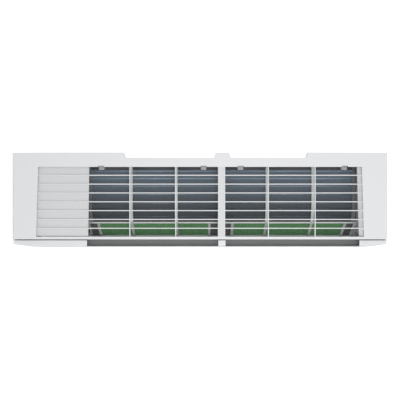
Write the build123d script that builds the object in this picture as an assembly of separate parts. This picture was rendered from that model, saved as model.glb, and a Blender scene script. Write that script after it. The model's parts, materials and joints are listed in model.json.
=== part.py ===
from build123d import *
import math
import os

os.makedirs("parts", exist_ok=True)

# The indoor unit of a split air conditioner, in millimetres
# X runs along the unit, -Y is its front, +Z is up
# The origin is on the flat band that rests against the wall, at the middle of the width
# A size called back is measured from the front edge of the top, and one called drop from the top down

# Casing
width = 835.0
unit_height = 295.0
casing_depth = 193.1
skin = 2.5
end_thickness = 3.0
cover_height = 12.0
cover_edge_radius = 4.0
seat = 0.3
running_gap = 5.0

# Rear side: the wall band, the channel for the pipes and the rim below it
band_half_height = 25.0
band_thickness = 3.0
channel_height = 52.0
channel_depth = 45.0
rim_height = 12.0

# Rear notches of the top cover, and the wider recess below them for the wall plate
notch_depth = 11.5
notch_slant = 3.6
first_notch = (-168.9, 34.0)
second_notch = (64.8, 239.1)
recess_beyond_notches = (26.0, 36.0)
hook_slot_places = (-110.0, 180.0)
hook_slot_length = 36.0
hook_slot_height = 9.0
hook_slot_drop = 48.0

# Knock-out for the pipes in each end
knockout_groove = 1.4
knockout_groove_depth = 0.8
knockout_length = 41.0
knockout_height = 44.0

# Air intake in the top
intake_rear = 32.2
lip_width = 6.0
intake_rear_margin = 58.1
intake_front_margin = 53.6
lip_chamfer = 1.5

# Intake grille
grille_height = 7.0
slat_count = 7
slat_end_gap = 18.65
slat_width = 2.2
slat_taper = 0.8
cross_bar_width = 2.2
bays_each_side = 3
centre_bar_middle = 48.0
centre_bar_width = 15.8
centre_groove_reach = 3.6
centre_groove_width = 1.2
centre_groove_depth = 1.5

# White plates below the slats at both ends
control_bay_length = 160.0
plate_thickness = 2.5
plate_tuck = 4.0
plate_front_gap = 1.2
bay_plate_rear_overlap = 10.4
bay_plate_front_overlap = 8.0
inner_shelf_width = 9.2
inner_lip_thickness = 1.5
inner_lip_clearance = 1.0
inner_lip_end = 150.0
inner_wall_height = 161.5

# Filters
filter_drop = 27.0
filter_rear = 29.0
filter_gap = 4.0
filter_side_gap = 2.4
filter_frame_thickness = 4.0
filter_mesh_thickness = 1.0
filter_bend_radius = 15.0
filter_edge_width = 5.0
filter_rear_bar = 8.0
filter_side_bar = 11.5
filter_rib_width = 6.0
filter_flat_back = 69.1
filter_knee_back = 38.1
filter_knee_drop = 38.5
filter_brow_back = 3.1
filter_brow_drop = 85.0
filter_shin_back = 1.1
filter_shin_drop = 146.0
filter_foot_back = 5.6
end_pane_reach = 24.5
clip_width = 12.0
clip_rear = 30.0
clip_length = 8.6
clip_drop = 6.0
clip_reach = 38.0
right_clip_shift = 2.5
clip_hollow = 1.6
clip_corner = 1.2

# Panes on the slope of the filters
pane_thickness = 2.0
pane_top_drop = 41.8
pane_bottom_drop = 83.3
pane_bar_width = 5.0
pane_top_bar = 2.4

# Chassis side plates and centre rail
side_plate_thickness = 5.0
rail_width = 8.0
rail_thickness = 5.0

# Heat exchanger
coil_thickness = 26.0
rear_coil_thickness = 22.0
rear_coil_top = (60.0, 50.0)
rear_coil_foot = (29.0, 33.0)
top_coil_rear = (76.0, 48.0)
top_coil_front_back = 41.1
top_coil_front_drop = 78.0
front_coil_back = 25.1
front_coil_drop = 94.0
front_coil_foot = 20.0

# Fan, air guide and drain pan
fan_rear = 52.0
fan_front_back = 49.1
fan_height_share = 0.444
fan_blades = 28
fan_blade_length = 10.0
fan_blade_thickness = 1.4
fan_blade_turn = 25.0
fan_disc_thickness = 3.0
fan_shaft_radius = 4.0
fan_end_gap = 7.0
guide_mouth = (44.0, 28.0)
guide_back = (36.0, -14.0)
guide_throat = (13.0, 5.0)
guide_radius = 40.0
guide_foot_gap = 6.0
pan_front_back = 13.6
pan_width = 31.5
pan_rise = 4.0
pan_depth = 12.0

# Front frame behind the panel
frame_thickness = 2.5
sill_height = 25.5
right_post_overlap = 0.2
left_post_overlap = 7.5

# Lower front curve, outlet window and flap
lower_front_height = 55.5
outlet_front_reach = 12.9
outlet_rear_back = 81.1
window_margin = 65.5
window_start_angle = 12.0
window_end_angle = 52.0
flap_thickness = 3.0
flap_gap_angle = 1.0

# Front panel
panel_gap = 2.7
panel_depth = 16.9
panel_drop = 8.5
panel_foot_gap = 5.5
panel_skin = 3.0
panel_edge_radius = 6.0
panel_end_length = 82.5
panel_end_radius = 400.0
panel_foot_height = 28.0
panel_foot_setback = 6.0
panel_foot_radius = 60.0
panel_return = 11.0
slot_skin = 3.5
slot_left_inset = 4.8
slot_right_inset = 0.7
slot_bridge_shift = 1.0
slot_bridge_width = 16.2
ledge_drop = 30.0
ledge_thickness = 2.5

# Panel hinge
hinge_ahead = 3.2
hinge_below = 10.0
hinge_pin_radius = 2.0
hinge_pin_clearance = 0.05
lug_radius = 4.5
lug_thickness = 5.0
lug_margin = 41.5
lug_angle = 60.0
arm_thickness = 5.0
arm_gap = 1.0
arm_depth = 7.0
arm_drop = 12.0

# Places that follow from the sizes above
half = width / 2
inner_half = half - end_thickness
channel_top_z = -band_half_height
channel_bottom_z = channel_top_z - channel_height
bottom_z = channel_bottom_z - rim_height
top_z = bottom_z + unit_height
cover_bottom_z = top_z - cover_height
plate_under_z = top_z - skin
grille_bottom_z = top_z - grille_height
intake_front = casing_depth - lip_width
intake_rear_half = half - intake_rear_margin
intake_front_half = half - intake_front_margin

filter_top_z = top_z - filter_drop
filter_half = filter_frame_thickness / 2
left_filter = (control_bay_length - half, centre_bar_middle - filter_gap / 2)
right_filter = (centre_bar_middle + filter_gap / 2, intake_rear_half - filter_side_gap)
chamber = (left_filter[0] + side_plate_thickness, right_filter[1] - side_plate_thickness)
rail = (centre_bar_middle - rail_width / 2, centre_bar_middle + rail_width / 2)
left_bay = (centre_bar_middle - left_filter[0]) / bays_each_side
right_bay = (intake_rear_half - centre_bar_middle) / bays_each_side
pane_top_z = top_z - pane_top_drop
pane_bottom_z = top_z - pane_bottom_drop
fan_z = bottom_z + fan_height_share * unit_height

panel_rear = casing_depth + panel_gap
panel_front = panel_rear + panel_depth
panel_top_z = top_z - panel_drop
hinge_y = -panel_rear - hinge_ahead
hinge_z = panel_top_z - hinge_below
hinge_relief = math.hypot(hinge_ahead, hinge_below) + running_gap
frame_front = -hinge_y - hinge_relief - seat
frame_rear = frame_front - frame_thickness
sill_front = panel_rear - running_gap
shelf_z = bottom_z + lower_front_height
sill_top_z = shelf_z + sill_height
panel_bottom_z = shelf_z + panel_foot_gap
panel_bend_z = panel_bottom_z + panel_foot_height

outlet_front_y = -casing_depth - outlet_front_reach
outlet_rear_y = outlet_rear_back - casing_depth
lower_reach = outlet_rear_y - outlet_front_y
lower_radius = (lower_reach ** 2 + lower_front_height ** 2) / (2 * lower_front_height)
lower_centre = (outlet_rear_y, bottom_z + lower_radius)
window_half = half - window_margin


def block(x_range, y_range, z_range):
    """A box between pairs of limits."""
    size = [high - low for low, high in (x_range, y_range, z_range)]
    middle = [(high + low) / 2 for low, high in (x_range, y_range, z_range)]
    return Pos(*middle) * Box(*size)


def rectangle(first_range, second_range):
    """A flat rectangle between pairs of limits."""
    size = [high - low for low, high in (first_range, second_range)]
    middle = [(high + low) / 2 for low, high in (first_range, second_range)]
    return Pos(*middle) * Rectangle(*size)


def around(middle, length):
    """The limits of a length about its middle."""
    return middle - length / 2, middle + length / 2


def polygon(points):
    """A flat face with straight sides."""
    return make_face(Polyline(*points, close=True))


def across(profile, start, end):
    """Extrude a side profile, drawn in Y and Z, from one X to another."""
    return extrude(Plane.YZ.offset(start) * profile, amount=end - start)


def upward(plan, bottom, top):
    """Extrude a plan, drawn in X and Y, from one height to another."""
    return extrude(Plane.XY.offset(bottom) * plan, amount=top - bottom)


def save(name, shape):
    """Write one piece to its own file."""
    export_step(shape, f"parts/{name}.step")


def casing_plan(*steps):
    """The outline of the casing from above, with steps in its rear, right to left."""
    points = [(-half, -casing_depth), (half, -casing_depth), (half, 0)]
    for start, end in steps:
        points.append((end, 0))
        points.append((end - notch_slant, -notch_depth))
        points.append((start + notch_slant, -notch_depth))
        points.append((start, 0))
    points.append((-half, 0))
    return polygon(points)


def intake_plan():
    """The intake opening, a little wider at its front."""
    return polygon([
        (-intake_rear_half, -intake_rear),
        (intake_rear_half, -intake_rear),
        (intake_front_half, -intake_front),
        (-intake_front_half, -intake_front),
    ])


def hinge_circle(radius):
    """A circle in the side view, round the panel's hinge."""
    return Pos(hinge_y, hinge_z) * Circle(radius)


def clip_places():
    """The middles of the four tabs on the rear edges of the filters."""
    places = []
    for (start, end), shift in ((left_filter, 0.0), (right_filter, right_clip_shift)):
        places += [start + clip_reach + shift, end - clip_reach + shift]
    return places


def top_cover():
    """The shallow tray that closes the top, with the intake cut out."""
    plan = casing_plan(second_notch, first_notch)
    tray = upward(plan, cover_bottom_z, top_z)
    ends = tray.edges().filter_by(Axis.Y).group_by(Axis.Z)[-1]
    ends = [edge for edge in ends if abs(abs(edge.center().X) - half) < seat]
    tray = fillet(ends, cover_edge_radius)
    tray -= upward(offset(plan, -skin, kind=Kind.INTERSECTION), cover_bottom_z, plate_under_z)
    tray -= upward(intake_plan(), cover_bottom_z, top_z)
    tray -= block((-half, half), (-casing_depth, -frame_front), (cover_bottom_z, plate_under_z))
    for place in clip_places():
        tray -= block(around(place, clip_width + 4 * seat), (-intake_rear - seat, seat - clip_rear),
                      (plate_under_z, top_z))
    lip = tray.edges().filter_by(Axis.X).group_by(Axis.Y)[0].group_by(Axis.Z)[0]
    return chamfer(lip, lip_chamfer)


def tapered_bar(bar_width):
    """The cross-section of a grille bar, narrower at its foot."""
    top = bar_width / 2
    foot = top - slat_taper / 2
    return polygon([(-foot, grille_bottom_z), (foot, grille_bottom_z), (top, top_z), (-top, top_z)])


def cross_bar(place, bar_width):
    """One bar of the grille that runs from the rear to the front."""
    profile = Plane.XZ * Pos(place, 0) * tapered_bar(bar_width)
    return extrude(profile, amount=intake_front)


def intake_grille():
    """Slats, cross bars and the wide centre bar, as one moulding inside the intake."""
    bars = [cross_bar(centre_bar_middle, centre_bar_width)]
    for number in range(1, bays_each_side):
        bars.append(cross_bar(centre_bar_middle - number * left_bay, cross_bar_width))
        bars.append(cross_bar(centre_bar_middle + number * right_bay, cross_bar_width))
    pitch = (intake_front - intake_rear - 2 * slat_end_gap) / (slat_count - 1)
    for number in range(slat_count):
        middle = -intake_rear - slat_end_gap - pitch * number
        bars.append(across(Pos(middle, 0) * tapered_bar(slat_width), -half, half))
    grille = (Part() + bars) & upward(intake_plan(), grille_bottom_z, top_z)
    for side in (-1, 1):
        groove = around(centre_bar_middle + side * centre_groove_reach, centre_groove_width)
        grille -= block(groove, (-intake_front, -intake_rear), (top_z - centre_groove_depth, top_z))
    return grille


def control_bay_plate():
    """The plate below the slats that closes the control bay."""
    plan = polygon([
        (-intake_rear_half - plate_tuck, plate_tuck - intake_rear),
        (left_filter[0] + bay_plate_rear_overlap, plate_tuck - intake_rear),
        (left_filter[0] + bay_plate_front_overlap, plate_front_gap - intake_front),
        (-intake_front_half - plate_tuck, plate_front_gap - intake_front),
    ])
    return upward(plan, grille_bottom_z - plate_thickness, grille_bottom_z)


def beside_intake(inset, thickness, front):
    """A strip along the intake's right end in plan, moved in by an inset."""
    share = (front - intake_rear) / (intake_front - intake_rear)
    rear_x = intake_rear_half - inset
    front_x = rear_x + share * (intake_front_half - intake_rear_half)
    return polygon([(rear_x, -intake_rear), (front_x, -front), (front_x + thickness, -front),
                    (rear_x + thickness, -intake_rear)])


def right_inner_wall():
    """The wall at the right end of the intake, with its narrow shelf and lip."""
    shelf_bottom = grille_bottom_z - plate_thickness
    lip_bottom = filter_top_z + filter_half + inner_lip_clearance
    wall = upward(beside_intake(0, skin, frame_rear), plate_under_z - inner_wall_height, plate_under_z)
    shelf = beside_intake(inner_shelf_width, inner_shelf_width + skin, intake_front - plate_front_gap)
    wall += upward(shelf, shelf_bottom, grille_bottom_z)
    lip = beside_intake(inner_shelf_width, inner_lip_thickness, inner_lip_end)
    return wall + upward(lip, lip_bottom, shelf_bottom)


def lower_circle(inset):
    """The circle that the lower front follows, moved in by an inset."""
    return Pos(*lower_centre) * Circle(lower_radius - inset)


def lower_region():
    """The part of the side view that the lower front curve crosses."""
    return rectangle((outlet_front_y, outlet_rear_y), (bottom_z, shelf_z))


def lower_band(thickness):
    """The curved band between the panel and the bottom, in side view."""
    return (lower_circle(0) - lower_circle(thickness)) & lower_region()


def lower_curve_z(y, inset):
    """The height of the moved-in lower curve at a place in the side view."""
    return lower_centre[1] - math.sqrt((lower_radius - inset) ** 2 - (y - lower_centre[0]) ** 2)


def end_panel(side):
    """One end of the casing, with the hinge's relief and the pipe knock-out."""
    profile = rectangle((-sill_front, 0), (bottom_z, cover_bottom_z))
    profile -= rectangle((-sill_front, outlet_rear_y), (bottom_z, shelf_z))
    profile += lower_circle(0) & lower_region()
    profile -= hinge_circle(hinge_relief)
    inner, outer = sorted((side * inner_half, side * half))
    panel = across(profile, inner, outer)
    mark_z = around((channel_top_z + channel_bottom_z) / 2, knockout_height)
    mark = rectangle((-knockout_length, 0), mark_z)
    mark -= rectangle((knockout_groove - knockout_length, 0),
                      (mark_z[0] + knockout_groove, mark_z[1] - knockout_groove))
    groove = sorted((side * (half - knockout_groove_depth), side * half))
    return panel - across(mark, *groove)


def rear_wall():
    """The stepped wall below the top cover, with slots for the wall plate's hooks."""
    recess = (first_notch[0] - recess_beyond_notches[0], second_notch[1] + recess_beyond_notches[1])
    plan = casing_plan(recess)
    ring = plan - offset(plan, -skin, kind=Kind.INTERSECTION)
    ring &= rectangle((-inner_half, inner_half), (-notch_depth - skin, 0))
    wall = upward(ring, band_half_height, cover_bottom_z)
    for place in hook_slot_places:
        wall -= block(around(place, hook_slot_length), (-notch_depth - skin, 0),
                      around(top_z - hook_slot_drop, hook_slot_height))
    return wall


def wall_band():
    """The flat band that rests on the wall, with the ledge of the recess."""
    band = block((-inner_half, inner_half), (-band_thickness, 0), (-band_half_height, band_half_height))
    ledge = block((-inner_half, inner_half), (-notch_depth - skin, 0),
                  (band_half_height - band_thickness, band_half_height))
    return band + ledge


def pipe_channel():
    """The open trough for the pipes, along the lower rear."""
    outer = rectangle((-channel_depth - skin, -band_thickness),
                      (channel_bottom_z - skin, channel_top_z + skin))
    inner = rectangle((-channel_depth, 0), (channel_bottom_z, channel_top_z))
    return across(outer - inner, -inner_half, inner_half)


def bottom_cover():
    """The underside, turned up at the rear to meet the wall."""
    floor = rectangle((outlet_rear_y, 0), (bottom_z, bottom_z + skin))
    upstand = rectangle((-band_thickness, 0), (bottom_z, channel_bottom_z))
    return across(floor + upstand, -inner_half, inner_half)


def wedge(start_angle, end_angle):
    """A sector of the lower curve, with angles from straight down."""
    reach = 2 * lower_radius
    corners = [lower_centre]
    for angle in (start_angle, (start_angle + end_angle) / 2, end_angle):
        turn = math.radians(angle)
        corners.append((lower_centre[0] - reach * math.sin(turn), lower_centre[1] - reach * math.cos(turn)))
    return polygon(corners)


def lower_frame():
    """The curved lower front, with the outlet window and the shelf above it."""
    shelf = rectangle((outlet_front_y, -frame_front), (shelf_z - skin, shelf_z))
    frame = across(lower_band(skin) + shelf, -inner_half, inner_half)
    window = wedge(window_start_angle, window_end_angle)
    return frame - across(window, -window_half, window_half)


def outlet_flap():
    """The curved blade that closes the outlet."""
    blade = wedge(window_start_angle + flap_gap_angle, window_end_angle - flap_gap_angle)
    return across(lower_band(flap_thickness) & blade, seat - window_half, window_half - seat)


def front_frame():
    """Side posts and hollow sill behind the front panel."""
    right_post = rectangle((intake_rear_half + lip_width - right_post_overlap, inner_half),
                           (shelf_z, cover_bottom_z))
    left_post = rectangle((-inner_half, left_filter[0] - left_post_overlap), (shelf_z, cover_bottom_z))
    posts = extrude(Plane.XZ.offset(frame_front) * (right_post + left_post), amount=-frame_thickness)
    sill = rectangle((-sill_front, -frame_rear), (shelf_z, sill_top_z))
    sill -= rectangle((frame_thickness - sill_front, 0), (shelf_z, sill_top_z - frame_thickness))
    return posts + across(sill, -inner_half, inner_half)


def filter_line():
    """The line that the filters follow, from the rear edge to the sill."""
    return FilletPolyline(
        (-filter_rear, filter_top_z),
        (filter_flat_back - casing_depth, filter_top_z),
        (filter_knee_back - casing_depth, top_z - filter_knee_drop),
        (filter_brow_back - casing_depth, top_z - filter_brow_drop),
        (filter_shin_back - casing_depth, top_z - filter_shin_drop),
        (filter_foot_back - casing_depth, sill_top_z + 2 * seat),
        radius=filter_bend_radius,
    )


def filter_strip(thickness):
    """A strip of even thickness on the filters' line."""
    return trace(filter_line(), thickness)


def below_filters():
    """The space inside the filters' line, in side view."""
    line = filter_line()
    start = line @ 0
    end = line @ 1
    foot_z = end.Y + filter_half
    front_y = -frame_rear + frame_thickness + running_gap + 3 * seat
    lower_inset = skin + seat
    closing = Polyline(
        (end.X, end.Y),
        (end.X, foot_z),
        (front_y, foot_z),
        (front_y, lower_curve_z(front_y, lower_inset)),
        (outlet_rear_y, bottom_z + lower_inset),
        (-channel_depth - lower_inset, bottom_z + lower_inset),
        (-channel_depth - lower_inset, channel_top_z + lower_inset),
        (-notch_depth - lower_inset, channel_top_z + lower_inset),
        (-notch_depth - lower_inset, start.Y),
        (start.X, start.Y),
    )
    return make_face([line, closing])


def filter_rib(place, rib_width):
    """One rib that runs along a filter."""
    return across(filter_strip(filter_frame_thickness), *around(place, rib_width))


def filter_cross_bars(limits):
    """The bars that run across a filter, as parts of its bent sheet."""
    sheet = across(filter_strip(filter_frame_thickness), *limits)
    stretches = (
        (pane_top_z + seat, pane_top_z + pane_top_bar),
        (pane_bottom_z - pane_bar_width, pane_bottom_z - seat),
        around((pane_bottom_z + sill_top_z) / 2, pane_bar_width),
        (sill_top_z, sill_top_z + filter_edge_width),
    )
    bars = [block(limits, (outlet_front_y, 0), stretch) for stretch in stretches]
    bars.append(block(limits, (-filter_rear - filter_rear_bar, 0), (sill_top_z, top_z)))
    return [sheet & bar for bar in bars]


def rib_places(limits, bay):
    """The middles of a filter's four long ribs."""
    inward = 1 if limits == left_filter else -1
    cross_bars = [centre_bar_middle - inward * number * bay for number in range(1, bays_each_side)]
    return sorted([limits[0] + end_pane_reach, limits[1] - end_pane_reach] + cross_bars)


def filter_frame(limits, bay, outer_end):
    """The ribbed frame of one filter, wider at its outer end above the panes."""
    start, end = limits
    pieces = filter_cross_bars(limits)
    pieces.append(filter_rib(start + filter_edge_width / 2, filter_edge_width))
    pieces.append(filter_rib(end - filter_edge_width / 2, filter_edge_width))
    places = rib_places(limits, bay)
    pieces += [filter_rib(place, filter_rib_width) for place in places[1:-1]]
    pane_heights = (pane_bottom_z - pane_bar_width, pane_top_z + pane_top_bar)
    beside_panes = block(limits, (outlet_front_y, 0), pane_heights)
    pieces += [filter_rib(place, filter_rib_width) & beside_panes for place in (places[0], places[-1])]
    inward = 1 if outer_end == start else -1
    side_bar = filter_rib(outer_end + inward * filter_side_bar / 2, filter_side_bar)
    pieces.append(side_bar & block(limits, (outlet_front_y, 0), (pane_top_z + seat, top_z)))
    return Part() + pieces


def filter_mesh(start, end):
    """The thin mesh sheet below one filter frame."""
    sheet = filter_strip(filter_frame_thickness + 2 * (seat + filter_mesh_thickness))
    sheet -= filter_strip(filter_frame_thickness + 2 * seat)
    return across(sheet & below_filters(), start + seat, end - seat)


def panes(limits, bay):
    """Panes on the slope, in the clear spans between the ribs of one filter."""
    side = filter_rib_width / 2
    ribs = rib_places(limits, bay)
    starts = [limits[0] + filter_edge_width] + [place + side for place in ribs]
    ends = [place - side for place in ribs] + [limits[1] - filter_edge_width]
    sheet = filter_strip(pane_thickness)
    height = (pane_bottom_z, pane_top_z)
    spans = [(start + seat, end - seat) for start, end in zip(starts, ends)]
    return [across(sheet, *span) & block(span, (outlet_front_y, 0), height) for span in spans]


def filter_clips():
    """Four small hollow tabs on the rear edges of the filters."""
    foot = filter_top_z + filter_half
    top = top_z - clip_drop
    clips = []
    for place in clip_places():
        clip = block(around(place, clip_width), (-clip_rear - clip_length, -clip_rear), (foot, top))
        clip = fillet(clip.edges().filter_by(Axis.Z).group_by(Axis.Y)[0], clip_corner)
        clip -= block(around(place, clip_width - 2 * clip_hollow),
                      (-clip_rear - clip_length, -clip_rear - clip_hollow), (foot, top - clip_hollow))
        clips.append(clip)
    return clips


def side_plate(start, end):
    """One side plate of the chassis, which carries a filter's edge."""
    profile = below_filters() - filter_strip(filter_frame_thickness + 2 * seat)
    return across(profile, start, end)


def centre_rail():
    """The bent rail below the meeting edges of the filters."""
    outer = filter_strip(filter_frame_thickness + 2 * (seat + rail_thickness))
    strip = (outer - filter_strip(filter_frame_thickness + 2 * seat)) & below_filters()
    top = filter_top_z - filter_half - seat
    tail = rectangle((-filter_rear, -notch_depth - skin), (top - rail_thickness, top))
    return across(strip + tail, *rail)


def coil_slab(upper, lower, thickness):
    """One slab of the heat exchanger between two points of the side view."""
    run = math.hypot(lower[0] - upper[0], lower[1] - upper[1])
    angle = math.degrees(math.atan2(lower[1] - upper[1], lower[0] - upper[0]))
    middle = ((upper[0] + lower[0]) / 2, (upper[1] + lower[1]) / 2)
    return across(Pos(*middle) * Rot(0, 0, angle) * Rectangle(run, thickness), *chamber)


def rear_coil():
    """The slab behind the fan."""
    upper = (-rear_coil_top[0], top_z - rear_coil_top[1])
    lower = (-rear_coil_foot[0], fan_z + rear_coil_foot[1])
    return coil_slab(upper, lower, rear_coil_thickness)


def top_coil():
    """The slab above the fan."""
    upper = (-top_coil_rear[0], top_z - top_coil_rear[1])
    lower = (top_coil_front_back - casing_depth, top_z - top_coil_front_drop)
    return coil_slab(upper, lower, coil_thickness)


def front_coil():
    """The upright slab in front of the fan."""
    y = front_coil_back - casing_depth
    return coil_slab((y, top_z - front_coil_drop), (y, sill_top_z + front_coil_foot), coil_thickness)


def crossflow_fan():
    """A drum of thin blades between end discs, on a shaft."""
    front = casing_depth - fan_front_back
    radius = (front - fan_rear) / 2
    place = Pos(-(front + fan_rear) / 2, fan_z)
    drum = (chamber[0] + fan_end_gap, chamber[1] - fan_end_gap)
    blade = Pos(0, radius - fan_blade_length / 2) * Rot(0, 0, fan_blade_turn) * Rectangle(
        fan_blade_thickness, fan_blade_length)
    blades = Sketch() + [Rot(0, 0, number * 360 / fan_blades) * blade for number in range(fan_blades)]
    fan = across(place * blades, *drum)
    discs = (drum[0], sum(drum) / 2 - fan_disc_thickness / 2, drum[1] - fan_disc_thickness)
    for disc in discs:
        fan += across(place * Circle(radius), disc, disc + fan_disc_thickness)
    fan += across(place * Circle(fan_shaft_radius), chamber[0], drum[0])
    fan += across(place * Circle(fan_shaft_radius), drum[1], chamber[1])
    return fan


def air_guide():
    """The curved sheet behind the fan that leads the air to the outlet."""
    points = [(-y, fan_z + z) for y, z in (guide_mouth, guide_back)]
    points.append((-channel_depth - guide_throat[0], channel_top_z - guide_throat[1]))
    foot = (outlet_rear_y + guide_foot_gap, bottom_z + skin + seat + skin)
    line = FilletPolyline(*points, foot, radius=guide_radius)
    return across(trace(line, skin), *chamber)


def drain_pan():
    """The trough below the front slab."""
    front = pan_front_back - casing_depth
    bottom = sill_top_z + pan_rise
    outer = rectangle((front, front + pan_width), (bottom, bottom + pan_depth))
    inner = rectangle((front + skin, front + pan_width - skin), (bottom + skin, fan_z))
    return across(outer - inner, *chamber)


def panel_plan(inset, rear):
    """The panel from above: straight, with ends that curve back."""
    radius = panel_end_radius - inset
    centre_x = half - panel_end_length
    centre_y = panel_end_radius - panel_front
    end_x = half - inset

    def curve_point(x):
        return (x, centre_y - math.sqrt(radius ** 2 - (x - centre_x) ** 2))

    start, middle, end = [curve_point(x) for x in (centre_x, (centre_x + end_x) / 2, end_x)]
    mirrored = [(-x, y) for x, y in (start, middle, end)]
    lines = Line(mirrored[0], start)
    lines += ThreePointArc(start, middle, end)
    lines += Polyline(end, (end[0], -rear), (-end[0], -rear), mirrored[2])
    lines += ThreePointArc(mirrored[2], mirrored[1], mirrored[0])
    return make_face(lines)


def panel_side(inset, rear):
    """The panel from the side, with its rounded top and set-back foot."""
    front = inset - panel_front
    face = polygon([
        (-rear, panel_top_z - inset),
        (front, panel_top_z - inset),
        (front, panel_bend_z),
        (front + panel_foot_setback, panel_bottom_z + inset),
        (-rear, panel_bottom_z + inset),
    ])
    front_corners = face.vertices().group_by(Axis.X)[0].sort_by(Axis.Y)
    face = fillet(front_corners[-1], panel_edge_radius - inset)
    bend = [corner for corner in face.vertices() if abs(corner.Y - panel_bend_z) < seat]
    return fillet(bend, panel_foot_radius)


def panel_form(inset, rear):
    """The panel's solid form, moved in by an inset."""
    outside = block((-half, half), (-panel_front, -rear), (panel_bottom_z, panel_top_z))
    outside -= upward(panel_plan(inset, rear), panel_bottom_z, panel_top_z)
    return across(panel_side(inset, rear), -half, half) - outside


def slots():
    """The X limits of the two slots in the panel's flange."""
    bridge = around(centre_bar_middle + slot_bridge_shift, slot_bridge_width)
    left = (left_filter[0] + slot_left_inset, bridge[0])
    right = (bridge[1], right_filter[1] - slot_right_inset)
    return left, right


def front_panel():
    """The hollow front panel, with its slotted top flange and round ears."""
    panel = panel_form(0, panel_rear) - panel_form(panel_skin, frame_front)
    panel -= block((-half, half), (panel_return - panel_front, -frame_front),
                   (panel_bottom_z, panel_bottom_z + panel_skin))
    ear = hinge_circle(hinge_below) & rectangle(
        (hinge_y, hinge_y + hinge_below), (hinge_z - hinge_below, panel_top_z))
    for side in (-1, 1):
        panel += across(ear, *sorted((side * (half - panel_skin), side * half)))
    for slot in slots():
        panel -= block(slot, (slot_skin - panel_front, -frame_front),
                       (panel_top_z - 2 * panel_skin, panel_top_z))
    return panel


def panel_ledge():
    """The grey ledge inside the panel, below its slots."""
    top = top_z - ledge_drop
    inside = upward(panel_plan(panel_skin, panel_rear), top - ledge_thickness, top)
    left, right = slots()
    return inside & block((left[0], right[1]), (-panel_front, 0), (top - ledge_thickness, top))


def hinge_arms():
    """Arms below the panel's flange, with the pins that turn in the lugs."""
    arms = []
    lug_start = half - lug_margin
    arm_start = lug_start + lug_thickness + arm_gap
    under_flange = panel_top_z - panel_skin
    for side in (-1, 1):
        arm = block(sorted((side * arm_start, side * (arm_start + arm_thickness))),
                    around(hinge_y, arm_depth), (under_flange - arm_drop, under_flange))
        pin_ends = sorted((side * (lug_start - arm_gap), side * arm_start))
        arms.append(arm + across(hinge_circle(hinge_pin_radius), *pin_ends))
    return arms


def hinge_lugs():
    """Slanting lugs on the front frame that hold the panel's pins."""
    slope = math.radians(lug_angle)
    run = -hinge_y - frame_front
    reach = run / math.cos(slope)
    middle = (hinge_y + run / 2, hinge_z - reach * math.sin(slope) / 2)
    stem = Pos(*middle) * Rot(0, 0, -lug_angle) * Rectangle(2 * reach, 2 * lug_radius)
    stem &= rectangle((hinge_y, -frame_front), (shelf_z, hinge_z))
    profile = stem + hinge_circle(lug_radius) - hinge_circle(hinge_pin_radius + hinge_pin_clearance)
    lug_start = half - lug_margin
    ends = [sorted((side * lug_start, side * (lug_start + lug_thickness))) for side in (-1, 1)]
    return [across(profile, *end) for end in ends]


def main():
    """Build every piece and write it."""
    save("top_cover", top_cover())
    save("intake_grille", intake_grille())
    save("control_bay_plate", control_bay_plate())
    save("right_inner_wall", right_inner_wall())
    save("left_end_panel", end_panel(-1))
    save("right_end_panel", end_panel(1))
    save("rear_wall", rear_wall())
    save("wall_band", wall_band())
    save("pipe_channel", pipe_channel())
    save("bottom_cover", bottom_cover())
    save("lower_frame", lower_frame())
    save("outlet_flap", outlet_flap())
    save("front_frame", front_frame())
    filters = (
        ("left", left_filter, left_bay, (chamber[0], rail[0]), left_filter[0]),
        ("right", right_filter, right_bay, (rail[1], chamber[1]), right_filter[1]),
    )
    for name, limits, bay, mesh_limits, outer_end in filters:
        save(f"filter_frame_{name}", filter_frame(limits, bay, outer_end))
        save(f"filter_mesh_{name}", filter_mesh(*mesh_limits))
        sheets = panes(limits, bay)
        save(f"green_panes_{name}", Compound(sheets[1:-1]))
        save(f"end_panes_{name}", Compound([sheets[0], sheets[-1]]))
    save("filter_clips", Compound(filter_clips()))
    save("side_plate_left", side_plate(left_filter[0], chamber[0]))
    save("side_plate_right", side_plate(chamber[1], right_filter[1]))
    save("centre_rail", centre_rail())
    save("rear_coil", rear_coil())
    save("top_coil", top_coil())
    save("front_coil", front_coil())
    save("crossflow_fan", crossflow_fan())
    save("air_guide", air_guide())
    save("drain_pan", drain_pan())
    save("front_panel", front_panel())
    save("panel_ledge", panel_ledge())
    save("hinge_arms", Compound(hinge_arms()))
    save("hinge_lugs", Compound(hinge_lugs()))


main()
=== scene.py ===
# %% [markdown]
# # The indoor unit of a split air conditioner
# This lesson dresses a long white indoor unit that hangs on a wall and is seen from straight above.
# Its moulded shell, its slatted air intake and its hinged front panel come from the CAD model.
# The lesson gives every surface a procedural finish, and adds the fine things that such a unit has:
# ribs on its nets, foam seals, pleated filter panes, grips on its tabs and screws below.

# %% Load the CAD frame
import json
import math
import bmesh
import bpy
from mathutils import Matrix, Vector


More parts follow.
